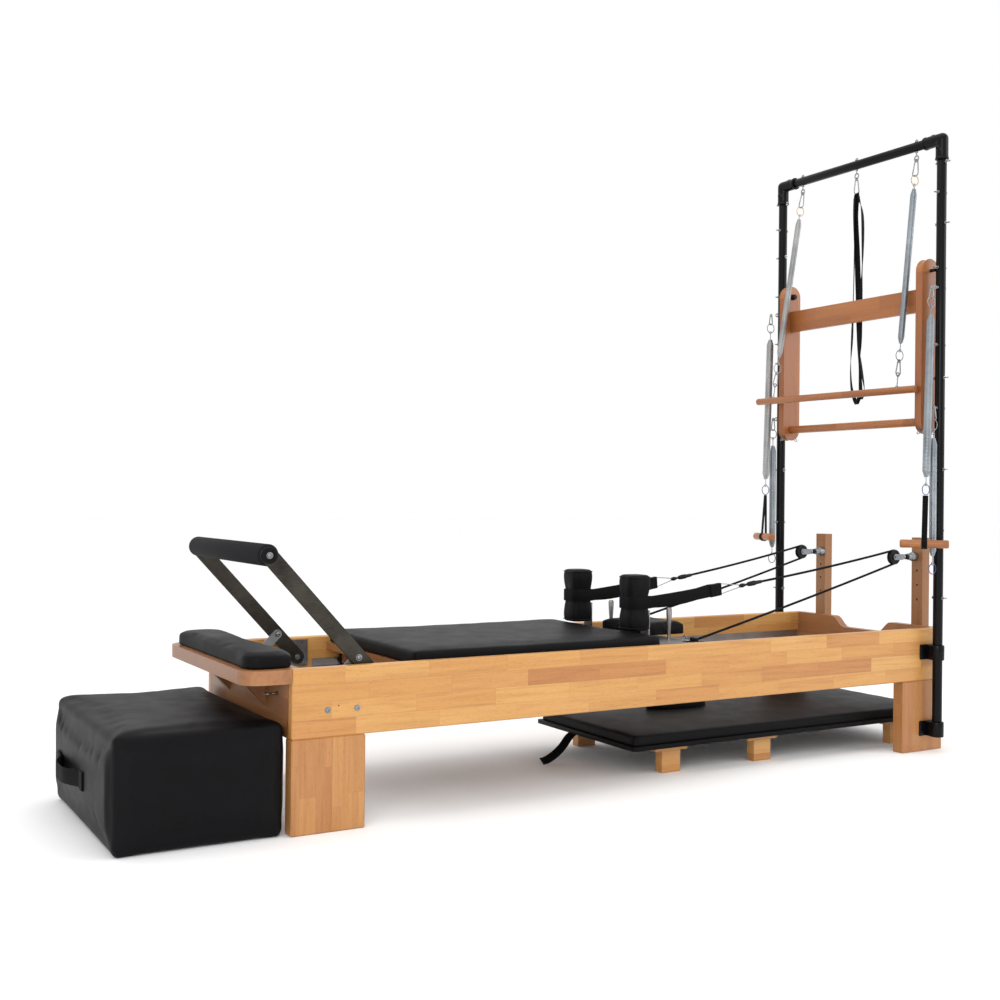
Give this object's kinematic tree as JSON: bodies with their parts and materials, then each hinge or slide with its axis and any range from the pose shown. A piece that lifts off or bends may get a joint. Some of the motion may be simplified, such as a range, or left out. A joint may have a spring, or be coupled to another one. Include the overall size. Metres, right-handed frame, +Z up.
{
  "type": "pilates reformer",
  "caption": "Wooden pilates reformer with sprung carriage, footbar, rope pulleys and a half tower with push-through bar, roll-down bar, side springs, sitting box and floor mat.",
  "frame": {"origin": "on the floor under the middle of the whole object's bounding box", "axes": "+X from the foot end towards the tower, +Y across the bed, away from the near side, +Z up"},
  "size_m": [2.8587, 0.9113, 2.068],
  "materials": {
    "beech": "satin finger-jointed beech",
    "dark_beech": "satin beech",
    "leatherette": "soft grained upholstery",
    "webbing": "woven webbing",
    "cord": "braided cord",
    "foam": "matt foam grip",
    "nylon": "moulded",
    "black_tube": "semi-gloss black",
    "aluminium": "extruded",
    "steel": "plated",
    "dark_steel": "dark brushed",
    "zinc": "zinc-plated spring wire"
  },
  "bodies": {
    "frame": {"near_side_rail": "beech", "far_side_rail": "beech", "near_foot_leg": "beech", "far_foot_leg": "beech", "near_head_leg": "beech", "far_head_leg": "beech", "foot_crossboard": "beech", "head_endboard": "beech", "standing_platform": "beech", "near_riser": "beech", "far_riser": "beech", "platform_cushion": "leatherette", "near_rope": "cord", "far_rope": "cord", "near_tower_post": "black_tube", "far_tower_post": "black_tube", "tower_top_bar": "black_tube", "near_track": "aluminium", "far_track": "aluminium", "spring_bar": "steel", "near_footbar_bracket": "steel", "far_footbar_bracket": "steel", "near_pulley_mount": "steel", "far_pulley_mount": "steel"},
    "carriage": {"carriage_base": "beech", "carriage_cushion": "leatherette", "near_shoulder_rest": "leatherette", "far_shoulder_rest": "leatherette", "head_plate": "aluminium", "near_strap": "webbing", "far_strap": "webbing"},
    "front_wheels": {"front_wheelset": "nylon"},
    "rear_wheels": {"rear_wheelset": "nylon"},
    "headrest": {"headrest": "leatherette"},
    "footbar": {"near_footbar_arm": "dark_steel", "far_footbar_arm": "dark_steel", "footbar_grip": "foam"},
    "strut": {"footbar_strut": "steel"},
    "near_pulley": {"near_pulley_block": "steel"},
    "far_pulley": {"far_pulley_block": "steel"},
    "near_sheave": {"near_sheave": "nylon"},
    "far_sheave": {"far_sheave": "nylon"},
    "push_through_bar": {"near_push_arm": "dark_beech", "far_push_arm": "dark_beech", "push_crossboard": "dark_beech", "push_dowel": "dark_beech"},
    "roll_down": {"roll_down_bar": "dark_beech", "near_roll_spring": "zinc", "far_roll_spring": "zinc"},
    "loops": {"hanging_loops": "webbing"},
    "near_hand": {"near_hand_spring": "zinc", "near_spring_handle": "dark_beech"},
    "far_hand": {"far_hand_spring": "zinc", "far_spring_handle": "dark_beech"},
    "near_leg_spring": {"near_leg_spring": "zinc"},
    "far_leg_spring": {"far_leg_spring": "zinc"},
    "sitting_box": {"sitting_box": "leatherette", "box_handle": "webbing"},
    "floor_mat": {"mat_board": "beech", "mat_cushion": "leatherette"}
  },
  "joints": [
    {"name": "carriage_slide", "type": "slide", "parent": "frame", "child": "carriage", "axis": [1, 0, 0], "range_m": [0, 0.64], "stiffness_N_per_m": 200, "springref_m": -0.05, "deforming": ["near_rope", "far_rope"]},
    {"name": "front_wheel_spin", "type": "hinge", "parent": "carriage", "child": "front_wheels", "pos_m": [-0.5495, -0.00469, 0.3393], "axis": [0, 1, 0], "range_deg": [-5, 1560]},
    {"name": "rear_wheel_spin", "type": "hinge", "parent": "carriage", "child": "rear_wheels", "pos_m": [0.1225, -0.00469, 0.3393], "axis": [0, 1, 0], "range_deg": [-5, 1560]},
    {"name": "headrest_tilt", "type": "hinge", "parent": "carriage", "child": "headrest", "pos_m": [0.2505, -0.00469, 0.4028], "axis": [0, -1, 0], "range_deg": [0, 40]},
    {"name": "footbar_fold", "type": "hinge", "parent": "frame", "child": "footbar", "pos_m": [-0.7085, -0.00469, 0.352], "axis": [0, 1, 0], "range_deg": [0, 75]},
    {"name": "strut_swing", "type": "hinge", "parent": "footbar", "child": "strut", "pos_m": [-0.77391, -0.00469, 0.42363], "axis": [0, 1, 0], "range_deg": [0, 14]},
    {"name": "near_pulley_tilt", "type": "hinge", "parent": "frame", "child": "near_pulley", "pos_m": [1.2967, -0.22519, 0.644], "axis": [0, 1, 0], "range_deg": [-20, 20]},
    {"name": "near_sheave_spin", "type": "hinge", "parent": "near_pulley", "child": "near_sheave", "pos_m": [1.2502, -0.22519, 0.644], "axis": [0, 1, 0], "continuous": true},
    {"name": "far_pulley_tilt", "type": "hinge", "parent": "frame", "child": "far_pulley", "pos_m": [1.2967, 0.21581, 0.644], "axis": [0, 1, 0], "range_deg": [-20, 20]},
    {"name": "far_sheave_spin", "type": "hinge", "parent": "far_pulley", "child": "far_sheave", "pos_m": [1.2502, 0.21581, 0.644], "axis": [0, 1, 0], "continuous": true},
    {"name": "push_bar_swing", "type": "hinge", "parent": "frame", "child": "push_through_bar", "pos_m": [1.2815, -0.00469, 1.61], "axis": [0, -1, 0], "range_deg": [0, 80]},
    {"name": "roll_down_swing", "type": "hinge", "parent": "frame", "child": "roll_down", "pos_m": [1.2888, -0.00469, 2], "axis": [0, 1, 0], "range_deg": [0, 60]},
    {"name": "loops_swing", "type": "hinge", "parent": "frame", "child": "loops", "pos_m": [1.2888, -0.00469, 2], "axis": [0, -1, 0], "range_deg": [-1, 49]},
    {"name": "near_hand_swing", "type": "hinge", "parent": "frame", "child": "near_hand", "pos_m": [1.2375, -0.38769, 1.548], "axis": [-1, 0, 0], "range_deg": [0, 60]},
    {"name": "near_leg_swing", "type": "hinge", "parent": "frame", "child": "near_leg_spring", "pos_m": [1.253, -0.38769, 1.148], "axis": [1, 0, 0], "range_deg": [0, 12]},
    {"name": "far_hand_swing", "type": "hinge", "parent": "frame", "child": "far_hand", "pos_m": [1.2375, 0.37831, 1.548], "axis": [1, 0, 0], "range_deg": [0, 60]},
    {"name": "far_leg_swing", "type": "hinge", "parent": "frame", "child": "far_leg_spring", "pos_m": [1.253, 0.37831, 1.148], "axis": [-1, 0, 0], "range_deg": [0, 12]},
    {"name": "box_slide", "type": "slide", "parent": "frame", "child": "sitting_box", "axis": [-1, 0, 0], "range_m": [0, 0.5]},
    {"name": "mat_slide", "type": "slide", "parent": "frame", "child": "floor_mat", "axis": [1, 0, 0], "range_m": [0, 0.9]}
  ],
  "couplings": [
    {"joint": "front_wheel_spin", "follows": "carriage_slide", "rad_per_m": 41.667},
    {"joint": "rear_wheel_spin", "follows": "carriage_slide", "rad_per_m": 41.667},
    {"joint": "loops_swing", "follows": "push_bar_swing", "ratio": 0.6}
  ]
}
